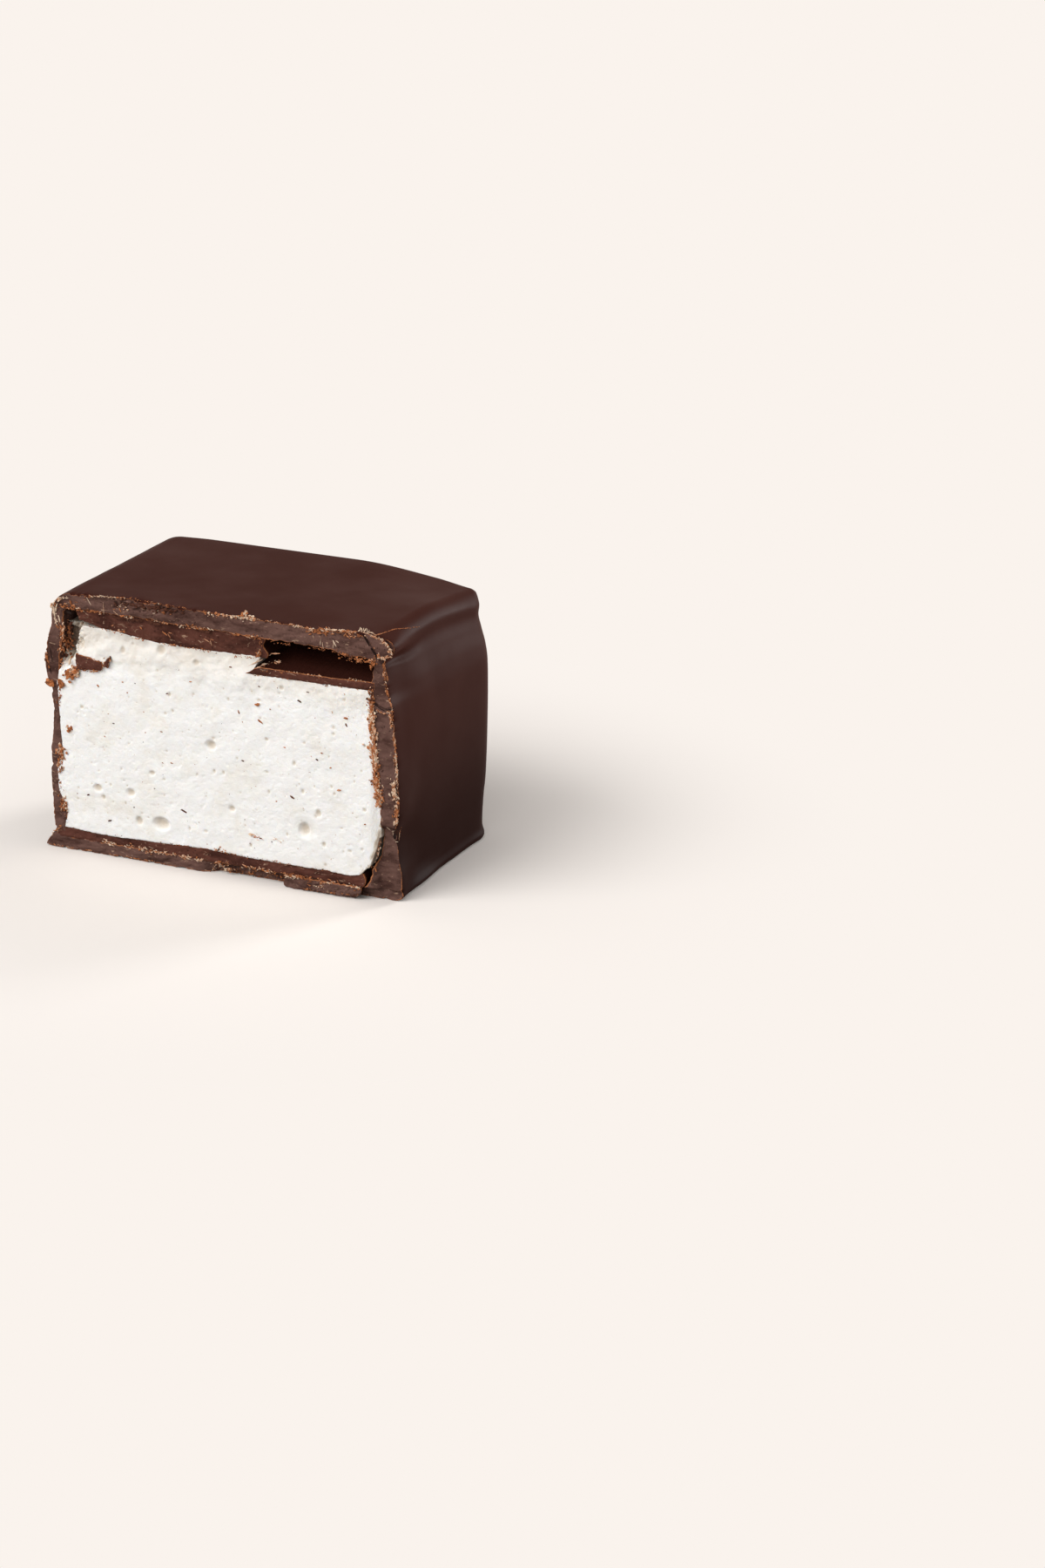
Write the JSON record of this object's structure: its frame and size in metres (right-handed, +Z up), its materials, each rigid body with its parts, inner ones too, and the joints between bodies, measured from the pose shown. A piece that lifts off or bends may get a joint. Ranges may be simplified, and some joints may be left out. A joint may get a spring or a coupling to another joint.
{
  "type": "chocolate-coated marshmallow half",
  "caption": "Half of a dipped marshmallow sweet, cut through with a knife: white foam between plates of dark chocolate inside a dark coating, standing on its underside.",
  "frame": {"origin": "on the underside, below the middle of the whole, where the sweet rests", "axes": "+Z up, +X to the right along the cut face, +Y away from the cut face, towards the back wall; the cut face looks along -Y"},
  "size_m": [0.0317, 0.0196, 0.0217],
  "materials": {
    "dark_coating": "satin dark chocolate, rough and scratched where it is broken",
    "dark_plate": "matt broken dark chocolate",
    "marshmallow_foam": "soft fine foam with small bubbles"
  },
  "bodies": {
    "root": {"coating": "dark_coating", "corner_chip": "dark_coating", "base_chip": "dark_coating", "top_plate": "dark_plate", "base_plate": "dark_plate", "top_shard": "dark_plate", "pressed_flake": "dark_plate", "marshmallow": "marshmallow_foam"}
  },
  "joints": []
}
